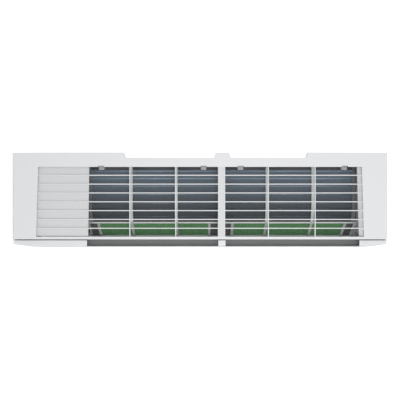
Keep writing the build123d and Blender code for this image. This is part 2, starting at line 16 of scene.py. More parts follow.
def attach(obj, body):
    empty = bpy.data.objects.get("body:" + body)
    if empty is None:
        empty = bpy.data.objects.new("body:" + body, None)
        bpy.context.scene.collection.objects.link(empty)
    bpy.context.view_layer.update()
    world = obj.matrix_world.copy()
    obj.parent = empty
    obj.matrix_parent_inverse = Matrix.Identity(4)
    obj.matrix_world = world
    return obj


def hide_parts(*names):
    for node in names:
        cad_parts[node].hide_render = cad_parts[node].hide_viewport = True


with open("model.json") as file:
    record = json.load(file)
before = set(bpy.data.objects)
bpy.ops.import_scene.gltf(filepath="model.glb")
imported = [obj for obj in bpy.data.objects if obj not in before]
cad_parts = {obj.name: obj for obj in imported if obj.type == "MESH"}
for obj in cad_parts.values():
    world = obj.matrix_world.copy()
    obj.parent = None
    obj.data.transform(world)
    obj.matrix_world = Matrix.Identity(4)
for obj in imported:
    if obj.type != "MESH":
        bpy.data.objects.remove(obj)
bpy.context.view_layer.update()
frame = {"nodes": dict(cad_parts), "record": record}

nodes = frame["nodes"]

# %% [markdown]
# ## The camera
# The photograph looks straight down on the middle of the unit's top.
# A camera that is turned by nothing at all looks down, with +Y at the top of the picture.
# A fairly long lens keeps the depths inside the intake close to where the eye expects them.

# %% Camera
millimetre = 0.001
top_height = 206.0 * millimetre
bottom_height = -89.0 * millimetre
camera_depth = -0.1057
camera_distance = 1.25
sensor_width = 36.0
lens = 50.7
scene = bpy.context.scene

camera_data = bpy.data.cameras.new("overhead camera")
camera_data.sensor_width = sensor_width
camera_data.lens = lens
camera = bpy.data.objects.new("overhead camera", camera_data)
camera.location = (0.0, camera_depth, top_height + camera_distance)
scene.collection.objects.link(camera)
scene.camera = camera
print("camera at", tuple(round(value, 4) for value in camera.location))

# %% [markdown]
# ## Helpers for nodes
# A finish is a small graph of nodes, and a few helpers keep the graphs readable.
# One sets a node's inputs by their labels, and one adds a node with its options and its inputs.
# The others stand for what comes up again and again: a calculation with one or two numbers,
# where a point lies on the object, the X, Y and Z of a place, and a mix of two colours.

# %% Node helpers
white = (1.0, 1.0, 1.0, 1.0)


def set_inputs(tree, node, values):
    """Set inputs by label, each to a plain value or to another node's output."""
    for label, value in values.items():
        if isinstance(value, bpy.types.NodeSocket):
            tree.links.new(value, node.inputs[label])
        else:
            node.inputs[label].default_value = value
    return node


def add_node(tree, kind, values=None, **options):
    """A new node with its options and its inputs set."""
    node = tree.nodes.new(kind)
    for option, value in options.items():
        setattr(node, option, value)
    return set_inputs(tree, node, values or {})


def math_node(tree, operation, first, second=0.0):
    """The result of a math node, whose inputs go by number because they share one label."""
    return add_node(tree, "ShaderNodeMath", {0: first, 1: second}, operation=operation).outputs["Value"]


def object_place(tree):
    """Where a point lies on the object, in metres."""
    return add_node(tree, "ShaderNodeTexCoord").outputs["Object"]


def split_place(tree, place):
    """The X, Y and Z of a place."""
    return add_node(tree, "ShaderNodeSeparateXYZ", {"Vector": place}).outputs


def mix_colours(tree, factor, first, second):
    """The first colour where the factor is nought, and the second where it is one."""
    values = {"Factor": factor, "A": first, "B": second}
    return add_node(tree, "ShaderNodeMix", values, data_type="RGBA").outputs["Result"]


print("node helpers ready")

# %% [markdown]
# ## The studio
# A white unit on a white ground needs very soft light, or its edges disappear.
# A pale sky does much of the work, as a light tent does in a studio. It is a little darker
# on the left, so the left edge of the unit reads against the ground.
# A wide lamp hangs almost right above, so the slats throw hardly any shadow that the camera
# can see. A lower one in front shows the panel, and one on the right lights the right edge.

# %% Sky and lamps
sky_left = 0.46
sky_right = 0.66
lamp_aim = Vector((0.0, -0.1, 0.06))
scene.view_settings.view_transform = "Standard"


def light_tent():
    """A white sky whose strength grows from the left to the right."""
    sky = bpy.data.worlds.new("light tent")
    sky.use_nodes = True
    tree = sky.node_tree
    direction = add_node(tree, "ShaderNodeTexCoord").outputs["Generated"]
    across = split_place(tree, direction)["X"]
    span = {"Value": across, "From Min": -1.0, "To Min": sky_left, "To Max": sky_right}
    strength = add_node(tree, "ShaderNodeMapRange", span).outputs["Result"]
    set_inputs(tree, tree.nodes["Background"], {"Color": white, "Strength": strength})
    return sky


def soft_lamp(name, place, size, power):
    """A square lamp that looks at the middle of the unit."""
    data = bpy.data.lights.new(name, "AREA")
    data.size = size
    data.energy = power
    lamp = bpy.data.objects.new(name, data)
    lamp.location = place
    lamp.rotation_euler = (lamp_aim - Vector(place)).to_track_quat("-Z", "Y").to_euler()
    lamp.visible_camera = False
    scene.collection.objects.link(lamp)
    return lamp


scene.world = light_tent()
lamps = [
    soft_lamp("key lamp", place=(0.15, -0.38, 2.6), size=1.1, power=21.0),
    soft_lamp("front lamp", place=(-0.6, -2.4, 1.2), size=1.4, power=4.5),
    soft_lamp("right lamp", place=(2.2, -0.1, 1.1), size=1.2, power=6.0),
]
print("sky from", sky_left, "to", sky_right, "with", len(lamps), "lamps")

# %% [markdown]
# ## Groups
# An effect that several finishes share, or that takes many nodes, is a group: a graph that is
# built once, with named inputs and outputs. It is then placed in each material that shows it,
# with that material's own values.

# %% Group helpers


def empty_group(name, inputs, outputs):
    """A shader group with number or colour inputs, its outputs, and the nodes at its two ends."""
    tree = bpy.data.node_groups.new(name, "ShaderNodeTree")
    for label, value in inputs.items():
        kind = "NodeSocketColor" if isinstance(value, tuple) else "NodeSocketFloat"
        socket = tree.interface.new_socket(name=label, in_out="INPUT", socket_type=kind)
        socket.default_value = value
    for label, kind in outputs.items():
        tree.interface.new_socket(name=label, in_out="OUTPUT", socket_type=kind)
    return tree, tree.nodes.new("NodeGroupInput"), tree.nodes.new("NodeGroupOutput")


def place_group(tree, group, values):
    """The outputs of a group that is placed in a material's graph."""
    return add_node(tree, "ShaderNodeGroup", values, node_tree=group).outputs


print("group helpers ready")

# %% [markdown]
# ## Moulded grain
# The steel mould of a plastic part is etched, so the part comes out with a very fine grain.
# It could be a picture of a grain, but noise in object space needs no picture and no unwrapping.
# The same group also lets the gloss wander a little, as it does where the plastic cooled unevenly.

# %% Group for moulded grain
gloss_patches_per_metre = 14.0


def moulded_grain_group():
    """Height of the grain, and a roughness that wanders between two values."""
    tree, entry, leave = empty_group(
        "moulded grain",
        {"grains per metre": 1500.0, "smoothest": 0.35, "roughest": 0.5},
        {"height": "NodeSocketFloat", "roughness": "NodeSocketFloat"},
    )
    given = entry.outputs
    place = object_place(tree)
    grain_noise = {"Vector": place, "Scale": given["grains per metre"], "Detail": 2.0}
    grain = add_node(tree, "ShaderNodeTexNoise", grain_noise).outputs["Fac"]
    gloss_noise = {"Vector": place, "Scale": gloss_patches_per_metre}
    drift = add_node(tree, "ShaderNodeTexNoise", gloss_noise).outputs["Fac"]
    span = {"Value": drift, "To Min": given["smoothest"], "To Max": given["roughest"]}
    roughness = add_node(tree, "ShaderNodeMapRange", span).outputs["Result"]
    set_inputs(tree, leave, {"height": grain, "roughness": roughness})
    return tree


moulded_grain = moulded_grain_group()
print("group made:", moulded_grain.name)

# %% [markdown]
# ## Tone drift
# No large white moulding is one white: resin, dust and handling shift it by a percent or two.
# The group mixes two close colours by slow noise, so each finish only names its two ends.

# %% Group for tone drift


def tone_drift_group():
    """A colour that wanders between two close colours."""
    tree, entry, leave = empty_group(
        "tone drift",
        {
            "first colour": (0.8, 0.8, 0.8, 1.0),
            "second colour": (0.7, 0.7, 0.7, 1.0),
            "patches per metre": 9.0,
        },
        {"colour": "NodeSocketColor"},
    )
    given = entry.outputs
    noise = {"Vector": object_place(tree), "Scale": given["patches per metre"], "Detail": 3.0}
    patches = add_node(tree, "ShaderNodeTexNoise", noise).outputs["Fac"]
    colour = mix_colours(tree, patches, given["first colour"], given["second colour"])
    set_inputs(tree, leave, {"colour": colour})
    return tree


tone_drift = tone_drift_group()
print("group made:", tone_drift.name)

# %% [markdown]
# ## Woven net
# The filter is a net of threads about a millimetre apart, far too many to model one by one.
# Two sets of fine waves cross each other and stand in for the threads.
# The net bends from level to nearly upright, so the second set runs along Y minus Z:
# that grows evenly on the level part and on the upright part alike.

# %% Group for the woven net


def distance_from_lines(tree, value, lines_per_metre):
    """Nought on each line and one halfway between two lines."""
    turns = math_node(tree, "MULTIPLY", value, lines_per_metre)
    angle = math_node(tree, "MULTIPLY", turns, math.pi)
    return math_node(tree, "ABSOLUTE", math_node(tree, "SINE", angle))


def woven_net_group():
    """A mask that is one on the threads, and the height of the weave."""
    tree, entry, leave = empty_group(
        "woven net",
        {"threads per metre": 900.0, "thread width": 0.5},
        {"thread mask": "NodeSocketFloat", "height": "NodeSocketFloat"},
    )
    given = entry.outputs
    place = split_place(tree, object_place(tree))
    down = math_node(tree, "SUBTRACT", place["Y"], place["Z"])
    warp = distance_from_lines(tree, place["X"], given["threads per metre"])
    weft = distance_from_lines(tree, down, given["threads per metre"])
    nearest = math_node(tree, "MINIMUM", warp, weft)
    span = {"Value": nearest, "From Max": given["thread width"], "To Min": 1.0, "To Max": 0.0}
    mask = add_node(tree, "ShaderNodeMapRange", span, interpolation_type="SMOOTHSTEP").outputs["Result"]
    height = math_node(tree, "SUBTRACT", 1.0, nearest)
    set_inputs(tree, leave, {"thread mask": mask, "height": height})
    return tree


woven_net = woven_net_group()
print("group made:", woven_net.name)

# %% [markdown]
# ## Thin fins
# The heat exchanger is a stack of thin metal sheets with narrow gaps between them.
# Only the fins' edges are ever seen, so one set of lines along X is enough.

# %% Group for thin fins
gap_start = 0.35


def thin_fins_group():
    """A mask that is one in the gaps between fins, and the height of the fins."""
    tree, entry, leave = empty_group(
        "thin fins",
        {"fins per metre": 700.0},
        {"gap mask": "NodeSocketFloat", "height": "NodeSocketFloat"},
    )
    across = split_place(tree, object_place(tree))["X"]
    away = distance_from_lines(tree, across, entry.outputs["fins per metre"])
    span = {"Value": away, "From Min": gap_start}
    mask = add_node(tree, "ShaderNodeMapRange", span, interpolation_type="SMOOTHSTEP").outputs["Result"]
    set_inputs(tree, leave, {"gap mask": mask, "height": math_node(tree, "SUBTRACT", 1.0, away)})
    return tree


thin_fins = thin_fins_group()
print("group made:", thin_fins.name)

# %% [markdown]
# ## Recipes for materials
# Plastic, paper, closed foam and even the screws share one recipe: a colour that drifts between
# two tones, a gloss that wanders between two roughnesses, and a fine grain raised as a bump.
# The shader stays in the material, and the groups feed its colour, its gloss and its bump.

# %% Material recipes
bump_strength = 0.6


def start_material(name):
    """An empty material, its tree and its shader."""
    material = bpy.data.materials.new(name)
    material.use_nodes = True
    return material, material.node_tree, material.node_tree.nodes["Principled BSDF"]


def two_tones(tree, tones, patches):
    """A colour that drifts between two tones, in so many patches per metre."""
    first, second = tones
    values = {"first colour": (*first, 1.0), "second colour": (*second, 1.0), "patches per metre": patches}
    return place_group(tree, tone_drift, values)["colour"]


def add_bump(tree, shader, height, depth):
    """Feed a height to the shader as a bump of a real depth in metres."""
    values = {"Strength": bump_strength, "Distance": depth, "Height": height}
    set_inputs(tree, shader, {"Normal": add_node(tree, "ShaderNodeBump", values).outputs["Normal"]})


def add_grain(tree, shader, gloss, grains, depth):
    """Give the shader a gloss between two roughnesses and a grain of a real depth in metres."""
    smoothest, roughest = gloss
    values = {"grains per metre": grains, "smoothest": smoothest, "roughest": roughest}
    grain = place_group(tree, moulded_grain, values)
    set_inputs(tree, shader, {"Roughness": grain["roughness"]})
    add_bump(tree, shader, grain["height"], depth)


def grained_material(name, tones, gloss, grains=1500.0, depth=0.00002, patches=9.0, more=None):
    """A grained material of two tones, with more of the shader's inputs where it needs them."""
    material, tree, shader = start_material(name)
    set_inputs(tree, shader, {"Base Color": two_tones(tree, tones, patches), **(more or {})})
    add_grain(tree, shader, gloss, grains, depth)
    return material


print("recipes ready")

# %% [markdown]
# ## Plastics
# Nearly everything here is moulded plastic. What sets the plastics apart is only their two tones,
# their gloss and the depth of their grain. The front panel alone has a polished skin, so it
# gets a thin coat and a shallow, coarse grain. Each plastic is kept under its slot's name.

# %% Plastics
finishes = {}


def plastic(slot_name, tones, gloss, **recipe):
    """A moulded plastic, kept under the name of its material slot."""
    finishes[slot_name] = grained_material(slot_name.replace("_", " "), tones, gloss, **recipe)


panel_coat = {"Coat Weight": 0.12, "Coat Roughness": 0.12}
plastic("casing_white", ((0.795, 0.80, 0.82), (0.78, 0.785, 0.805)), gloss=(0.38, 0.46))
plastic(
    "panel_white", ((0.80, 0.81, 0.825), (0.79, 0.80, 0.815)), gloss=(0.38, 0.46),
    grains=500.0, depth=0.000008, more=panel_coat,
)
plastic("grille_white", ((0.755, 0.765, 0.775), (0.74, 0.75, 0.765)), gloss=(0.44, 0.52))
# The inner white is a little darker than the grille's white: painted shade for the plates in the recess
# under the slats.
plastic("inner_white", ((0.72, 0.73, 0.735), (0.705, 0.715, 0.725)), gloss=(0.5, 0.6))
# The ledge's dark grey is partly its own grey and partly painted shade for the depth of the panel's slots.
plastic("ledge_grey", ((0.20, 0.203, 0.205), (0.185, 0.188, 0.19)), gloss=(0.55, 0.65))
plastic("clip_grey", ((0.44, 0.44, 0.445), (0.40, 0.40, 0.405)), gloss=(0.4, 0.5))
plastic("filter_frame_grey", ((0.68, 0.70, 0.685), (0.64, 0.66, 0.645)), gloss=(0.42, 0.52))
plastic("chassis_grey", ((0.52, 0.53, 0.53), (0.49, 0.50, 0.505)), gloss=(0.5, 0.62), depth=0.00004)
plastic("fan_black", ((0.035, 0.035, 0.04), (0.028, 0.028, 0.032)), gloss=(0.35, 0.45))
print(len(finishes), "plastics made")

# %% [markdown]
# ## The net
# The filters' net is bluish grey and matt, and the holes between its threads are painted dark, as painted
# shade.
# Its rear is painted paler and bluer, as painted light, and its front darker, as painted shade,
# so its colour goes from one pair of tones to another along Y.

# %% Net
threads_per_metre = 900.0
thread_width = 0.55
# Between these two places in Y, the net's painted shade in front turns into its painted light at the rear.
shaded_front = -0.125
lit_rear = -0.05


def painted_light_mask(tree):
    """Nought at the shaded front of the filters and one at their lit rear: the mask of the painted light.
    """
    back = split_place(tree, object_place(tree))["Y"]
    span = {"Value": back, "From Min": shaded_front, "From Max": lit_rear}
    return add_node(tree, "ShaderNodeMapRange", span).outputs["Result"]


def painted_light_blend(tree, shaded_tones, lit_tones, patches):
    """Colour that goes from the painted shade tones in front to the painted light tones at the rear."""
    shaded_colour = two_tones(tree, shaded_tones, patches)
    lit_colour = two_tones(tree, lit_tones, patches)
    return mix_colours(tree, painted_light_mask(tree), shaded_colour, lit_colour)


def net_finish():
    """The filter's woven net, with painted light at its rear and painted shade towards its front."""
    material, tree, shader = start_material("filter net")
    weave = place_group(
        tree, woven_net, {"threads per metre": threads_per_metre, "thread width": thread_width},
    )
    shaded_tones = ((0.092, 0.105, 0.117), (0.08, 0.092, 0.103))
    lit_tones = ((0.33, 0.42, 0.51), (0.295, 0.375, 0.46))
    thread = painted_light_blend(tree, shaded_tones, lit_tones, patches=20.0)
    # The holes are painted shade: a dark colour for the dim space seen through the net.
    hole = (0.05, 0.06, 0.07, 1.0)
    colour = mix_colours(tree, weave["thread mask"], hole, thread)
    set_inputs(tree, shader, {"Base Color": colour, "Roughness": 0.55, "Specular IOR Level": 0.25})
    add_bump(tree, shader, weave["height"], depth=0.00006)
    return material


finishes["filter_mesh_grey"] = net_finish()
print("net made with", threads_per_metre, "threads per metre")

# %% [markdown]
# ## Paper and open foam
# The green panes are pleated paper with soft fibres, which a little sheen and a coarse bump show.
# The end panes are dark open foam. Voronoi noise draws its cells, with dark pits and pale walls.

# %% Paper and foam


def paper_finish():
    """Green pleated paper with soft fibres."""
    return grained_material(
        "green paper", ((0.155, 0.375, 0.158), (0.135, 0.335, 0.14)), gloss=(0.75, 0.9),
        grains=900.0, depth=0.00008, patches=60.0, more={"Sheen Weight": 0.15},
    )


def foam_finish():
    """Dark open foam, full of small cells."""
    material, tree, shader = start_material("dark foam")
    cells = add_node(tree, "ShaderNodeTexVoronoi", {"Vector": object_place(tree), "Scale": 700.0})
    away = cells.outputs["Distance"]
    pit = (0.055, 0.055, 0.057, 1.0)
    wall = (0.22, 0.22, 0.225, 1.0)
    set_inputs(tree, shader, {"Base Color": mix_colours(tree, away, pit, wall), "Roughness": 0.85})
    add_bump(tree, shader, away, depth=0.0003)
    return material


finishes["pane_green"] = paper_finish()
finishes["pane_black"] = foam_finish()
print("paper and foam made")

# %% [markdown]
# ## Coated fins
# The fins are coated aluminium, so they are mostly metallic, with a bluish tone.
# The gaps between them are dark, because hardly any light comes back out of them.

# %% Fins


def fin_finish():
    """Thin coated aluminium sheets seen on their edges."""
    material, tree, shader = start_material("coil fins")
    fins = place_group(tree, thin_fins, {"fins per metre": 700.0})
    metal = two_tones(tree, ((0.52, 0.58, 0.66), (0.45, 0.51, 0.58)), patches=12.0)
    gap = (0.03, 0.033, 0.036, 1.0)
    colour = mix_colours(tree, fins["gap mask"], metal, gap)
    set_inputs(tree, shader, {"Base Color": colour, "Metallic": 0.7, "Roughness": 0.4})
    add_bump(tree, shader, fins["height"], depth=0.0004)
    return material


finishes["coil_fins"] = fin_finish()
print(len(finishes), "finishes in all")

# %% [markdown]
# ## Dressing the CAD nodes
# Each CAD node already knows the name of its material slot, which is written in the record.
# So the nodes are not listed here again: a loop looks the finish up by that name.

# %% Finish every CAD node
for subpart in frame["record"]["subparts"]:
    node = nodes[subpart["node"]]
    node.data.materials.clear()
    node.data.materials.append(finishes[subpart["material_slot"]])

# %% [markdown]
# ## The line of the filters
# The pieces on the filters have to follow their bends, so the lesson needs that line again.
# It is drawn as corners with rounded turns, the way a sheet is bent over a form.
# A measured place along it gives a point and the direction that faces out of the filter.

# %% Bent line of the filters
filter_corners = [
    (-29.0, 179.0), (-124.0, 179.0), (-155.0, 167.5), (-190.0, 121.0), (-192.0, 60.0), (-187.5, -7.4),
]
filter_bend = 15.0


def rounded_line(corners, radius, steps=8):
    """Points along a line with rounded corners, in Y and Z."""
    spots = [Vector(corner) for corner in corners]
    line = [spots[0]]
    for before, corner, after in zip(spots, spots[1:], spots[2:]):
        back = (before - corner).normalized()
        ahead = (after - corner).normalized()
        half_angle = back.angle(ahead) / 2
        centre = corner + (back + ahead).normalized() * radius / math.sin(half_angle)
        reach = radius / math.tan(half_angle)
        first_spoke = corner + back * reach - centre
        last_spoke = corner + ahead * reach - centre
        for step in range(steps + 1):
            line.append(centre + first_spoke.lerp(last_spoke, step / steps).normalized() * radius)
    return line + [spots[-1]]


def outward(line, index):
    """The direction out of the filter at a point of its line."""
    ahead = line[min(index + 1, len(line) - 1)]
    behind = line[max(index - 1, 0)]
    run = (ahead - behind).normalized()
    return Vector((run.y, -run.x))


def resample(line, low, high, spacing):
    """Points at an even spacing between two distances along a line."""
    picked = []
    walked = 0.0
    target = low
    for here, there in zip(line, line[1:]):
        length = (there - here).length
        while target <= min(walked + length, high):
            picked.append(here.lerp(there, (target - walked) / length))
            target += spacing
        walked += length
    return picked


filter_line = rounded_line(filter_corners, filter_bend)
line_length = sum((there - here).length for here, there in zip(filter_line, filter_line[1:]))
print("filter line with", len(filter_line), "points and", round(line_length), "millimetres")

# %% [markdown]
# ## Half-round strips
# Ribs, grips and seals are all long strips with one rounded side. Each is a row of half-round
# rings with a skin between them: two rings for a straight strip, and more where it bends
# with the filter. One more helper turns what was built into a piece that rides on a body.

# %% Strip helpers
ring_sides = 8
up = (0.0, 0.0, 1.0)


def half_ring(form, middle, across, out, half_width, height):
    """Points of one half-round ring, with its round side facing out."""
    ring = []
    for side in range(ring_sides + 1):
        angle = math.pi * side / ring_sides
        spot = middle + across * half_width * math.cos(angle) + out * height * math.sin(angle)
        ring.append(form.verts.new(spot))
    return ring


def skin_rings(form, rings):
    """Faces between rings that follow each other, closed at both ends."""
    for here, there in zip(rings, rings[1:]):
        for side in range(-1, ring_sides):
            form.faces.new((here[side], here[side + 1], there[side + 1], there[side]))
    form.faces.new(rings[0])
    form.faces.new(rings[-1])


def add_strip(form, start, end, out, half_width, height):
    """A straight strip between two points in millimetres."""
    start = Vector(start)
    end = Vector(end)
    out = Vector(out).normalized()
    across = (end - start).cross(out).normalized()
    skin_rings(form, [half_ring(form, middle, across, out, half_width, height) for middle in (start, end)])


def mesh_piece(name, form, body, finish, smooth=True):
    """A scene object from a bmesh in millimetres, dressed and riding on a body."""
    mesh = bpy.data.meshes.new(name)
    bmesh.ops.recalc_face_normals(form, faces=form.faces)
    form.to_mesh(mesh)
    form.free()
    mesh.transform(Matrix.Scale(millimetre, 4))
    mesh.materials.append(finish)
    for face in mesh.polygons:
        face.use_smooth = smooth
    piece = bpy.data.objects.new(name, mesh)
    scene.collection.objects.link(piece)
    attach(piece, body)
    return piece


print("strip helpers ready")

# %% [markdown]
# ## Ribs on the net
# Fine round ribs cross each filter and keep its net from sagging. They carry the net's painted light
# and shade, and are glossy, so the lamp above draws thin bluish streaks on them.
# Their places are measured along the filter's line, and each one is set low, on the net.

# %% Net ribs
left_filter = (-257.5, 46.0)
right_filter = (50.0, 357.0)
flat_rib_places = (11.0, 28.0, 45.0, 64.2, 84.6, 98.2, 116.0)
lower_rib_start = 190
lower_rib_pitch = 17
rib_end_gap = 2.0
net_rib_radius = 1.3
net_rib_sink = 2.4
fine_step = 0.2


def net_rib_finish():
    """Glossy bluish plastic, with the same painted light and shade as the net."""
    material, tree, shader = start_material("net rib blue")
    shaded_tones = ((0.10, 0.12, 0.135), (0.085, 0.105, 0.12))
    lit_tones = ((0.36, 0.45, 0.55), (0.32, 0.40, 0.49))
    set_inputs(tree, shader, {"Base Color": painted_light_blend(tree, shaded_tones, lit_tones, patches=25.0)})
    add_grain(tree, shader, gloss=(0.22, 0.32), grains=1200.0, depth=0.00002)
    return material


def rib_spots():
    """Places on the filters' line for the ribs, each with the direction out of the filter."""
    fine = resample(filter_line, 0.0, line_length, fine_step)
    lower_rib_places = range(lower_rib_start, round(line_length), lower_rib_pitch)
    spots = []
    for place in (*flat_rib_places, *lower_rib_places):
        index = round(place / fine_step)
        spots.append((fine[index], outward(fine, index)))
    return spots


def net_ribs(name, limits, spots, finish):
    """All fine ribs of one filter, as one moulding."""
    left, right = limits
    form = bmesh.new()
    for spot, out in spots:
        middle = spot - out * net_rib_sink
        start = (left + rib_end_gap, *middle)
        end = (right - rib_end_gap, *middle)
        add_strip(form, start, end, (0.0, *out), net_rib_radius, net_rib_radius)
    return mesh_piece(name, form, "casing", finish)


ribs = rib_spots()
rib_finish = net_rib_finish()
for side, limits in (("left", left_filter), ("right", right_filter)):
    piece = net_ribs("net_ribs_" + side, limits, ribs, rib_finish)
    print(piece.name, "with", len(ribs), "ribs")

# %% [markdown]
# ## Foam for the seals and the shade strips
# Air must pass through the filters and not round them, so soft foam strips close some of their edges.
# All strips are the same closed foam in five greys. Foam takes up light, so its shine is weak.
# The grey, dark grey and black foams are painted shade: their strips lie where the filters are in shade.

# %% Foams for seals and shade strips
blue_tint = 1.03


def strip_foam_finish(name, pale, dark):
    """Soft foam with small closed cells, between two greys that are a little blue."""
    return grained_material(
        name, [(grey, grey, grey * blue_tint) for grey in (pale, dark)], gloss=(0.75, 0.9),
        grains=1400.0, depth=0.0001, patches=150.0, more={"Specular IOR Level": 0.25},
    )


# The grey, dark grey and black foams are painted shade; the white and pale grey ones are seals.
side_shade_foam = strip_foam_finish("grey foam", pale=0.19, dark=0.155)
white_foam = strip_foam_finish("white foam", pale=0.62, dark=0.56)
pale_foam = strip_foam_finish("pale grey foam", pale=0.36, dark=0.31)
shade_dark_foam = strip_foam_finish("dark grey foam", pale=0.115, dark=0.095)
shade_black_foam = strip_foam_finish("black foam", pale=0.045, dark=0.035)
print("five seal foams made")

# %% [markdown]
# ## Straight strips
# Some strips lie on level faces: one at the rear of the filters, broken where their ribs are, one
# just above the panes, and a grey pad at each end of the panel's ledge. The first two are dark
# foam laid as painted shade, where the intake's rear edge and the bar above the panes shade the net.
# A thin dark one in the parting line between the front panel and the top cover is painted shade too,
# and one is on the lip at the right end. The pads and the parting strip are fixed to the panel and open
# with it.
# Here each strip gets its recipe, and the next cell makes them all in one go.

# %% Straight strips
rear_shade_spot = (-33.3, 180.9)
rear_shade_spans = (
    (-246.0, -159.0), (-152.5, -57.0), (-50.5, 45.5), (50.5, 148.5), (155.0, 252.3), (258.9, 345.5),
)
knee_shade_spot = (-153.6, 166.5)
knee_shade_spans = ((-251.0, 45.5), (50.5, 351.0))
ledge_end_spot = (-202.4, 175.1)
ledge_end_spans = ((-263.0, -252.5), (356.1, 366.0))
level_strip_height = 0.9
panel_shade_spot = (-195.8, 196.0)
panel_shade_spans = ((-412.0, -253.5), (41.5, 56.5), (357.0, 412.0))
panel_shade_height = 2.0
lip_seal_ends = ((350.2, -33.0, 190.0), (353.6, -149.0, 190.0))
lip_seal_height = 1.0
lip_facing = (-1.0, -0.03, 0.0)
backward = (0.0, 1.0, 0.0)


def strips_along_x(spot, spans, half_width, height, out=up):
    """Strips along X at one place in Y and Z, each between two places in X."""
    form = bmesh.new()
    for start, end in spans:
        add_strip(form, (start, *spot), (end, *spot), out, half_width, height)
    return form


def rear_shade_strip():
    """Dark strips at the rear of the filters, between their ribs: painted shade under the intake's rear
    edge.
    """
    form = strips_along_x(rear_shade_spot, rear_shade_spans, half_width=4.2, height=level_strip_height)
    return mesh_piece("rear_shade_strip", form, "casing", shade_dark_foam)


def knee_shade_strip():
    """Black strips just above the panes: painted shade on the net there."""
    form = strips_along_x(knee_shade_spot, knee_shade_spans, half_width=2.1, height=level_strip_height)
    return mesh_piece("knee_shade_strip", form, "casing", shade_black_foam)


def ledge_ends():
    """The pads at the ends of the panel's ledge."""
    form = strips_along_x(ledge_end_spot, ledge_end_spans, half_width=6.6, height=level_strip_height)
    return mesh_piece("ledge_ends", form, "panel", finishes["ledge_grey"])


def panel_edge_shade_strip():
    """Dark strips on the rear edge of the panel's flange: painted shade in the parting line."""
    form = strips_along_x(
        panel_shade_spot, panel_shade_spans, half_width=1.2, height=panel_shade_height, out=backward,
    )
    return mesh_piece("panel_edge_shade_strip", form, "panel", shade_dark_foam)


def lip_seal():
    """The strip on the lip at the right end of the intake."""
    form = bmesh.new()
    add_strip(form, *lip_seal_ends, lip_facing, half_width=7.0, height=lip_seal_height)
    return mesh_piece("lip_seal", form, "casing", pale_foam)


print("rear seal of", len(rear_shade_spans), "strips and parting seal of", len(panel_shade_spans))

# %% [markdown]
# ## Bent strips
# The grey strips down the outer sides of the filters follow the filters' line, so they are made of
# many rings. Their grey is painted shade, where the walls beside the filters shade the side bars.
# Two more, side by side, close the gap between the right filter and the wall.

# %% Bent strips
frame_half = 2.0
bent_strip_step = 2.0
bent_strip_sink = 0.05
bent_strip_height = 0.8
side_shade_width = 11.8
side_shade_inset = 0.2
side_shade_stretch = (1.0, 128.0)
gap_seals = (
    ((357.1, 366.2), (100.0, 312.0)),
    ((366.0, 376.0), (172.0, 206.0)),
)


def add_bent_strip(form, middle, half_width, stretch):
    """A foam strip along a stretch of the filters' line, which bends with it."""
    line = resample(filter_line, *stretch, bent_strip_step)
    rings = []
    for index, spot in enumerate(line):
        out = outward(line, index)
        place = Vector((middle, *(spot + out * (frame_half - bent_strip_sink))))
        across = Vector((1.0, 0.0, 0.0))
        rings.append(half_ring(form, place, across, Vector((0.0, *out)), half_width, bent_strip_height))
    skin_rings(form, rings)


def side_shade_strips():
    """Grey strips down the outer side bars of the filters: painted shade beside the walls."""
    form = bmesh.new()
    half = side_shade_width / 2
    for middle in (left_filter[0] + side_shade_inset + half, right_filter[1] - side_shade_inset - half):
        add_bent_strip(form, middle, half, side_shade_stretch)
    return mesh_piece("side_shade_strips", form, "casing", side_shade_foam)


def end_gap_seals():
    """The strips that close the gap between the right filter and the wall beside it."""
    form = bmesh.new()
    for (start, end), stretch in gap_seals:
        add_bent_strip(form, (start + end) / 2, (end - start) / 2, stretch)
    return mesh_piece("end_gap_seals", form, "casing", white_foam)


# The rear, knee, side and parting strips are painted shade; the end gap and lip strips are seals.
for make_seal in (rear_shade_strip, knee_shade_strip, ledge_ends, side_shade_strips, end_gap_seals, lip_seal, panel_edge_shade_strip):
    seal = make_seal()
    print(seal.name, "has", len(seal.data.polygons), "faces")

# %% [markdown]
# ## Pleated panes
# The green panes clean the air, so their paper is folded to give it more surface.
# Each one is a strip that goes up and down across the unit, and the line of the filters bends it.
# The folds are soft, because the paper is thick, so every fold has a few points at its turn.

# %% Pleated green panes
pane_low = 122.7
pane_high = 164.2
pleat_pitch = 3.4
pleat_height = 0.6
pleat_steps = 8
fold_fullness = 0.12
pane_row_step = 1.5
paper_thickness = 0.4 * millimetre
rib_half = 3.0
seat = 0.3
centre_bar = 48.0
intake_half = 359.4
end_pane = 24.5
bays = 3


def rib_middles(limits, far_end):
    """The middles of the four long ribs of one filter, two of them below the grille's cross bars."""
    bay = (far_end - centre_bar) / bays
    shared = [centre_bar + number * bay for number in range(1, bays)]
    return sorted([limits[0] + end_pane, limits[1] - end_pane] + shared)


def pleat_rise(share):
    """The height of a soft fold at a share of its pitch."""
    return math.sin(2 * math.pi * share) + fold_fullness * math.sin(6 * math.pi * share)


def add_pane(form, start, end, rows):
    """One pleated pane between two ribs."""
    count = max(1, round((end - start) / pleat_pitch)) * pleat_steps
    grid = []
    for index, row in enumerate(rows):
        out = outward(rows, index)
        cells = []
        for step in range(count + 1):
            spot = row + out * (pleat_rise(step / pleat_steps) * pleat_height)
            cells.append(form.verts.new((start + (end - start) * step / count, *spot)))
        grid.append(cells)
    for lower, upper in zip(grid, grid[1:]):
        for step in range(count):
            form.faces.new((lower[step], lower[step + 1], upper[step + 1], upper[step]))


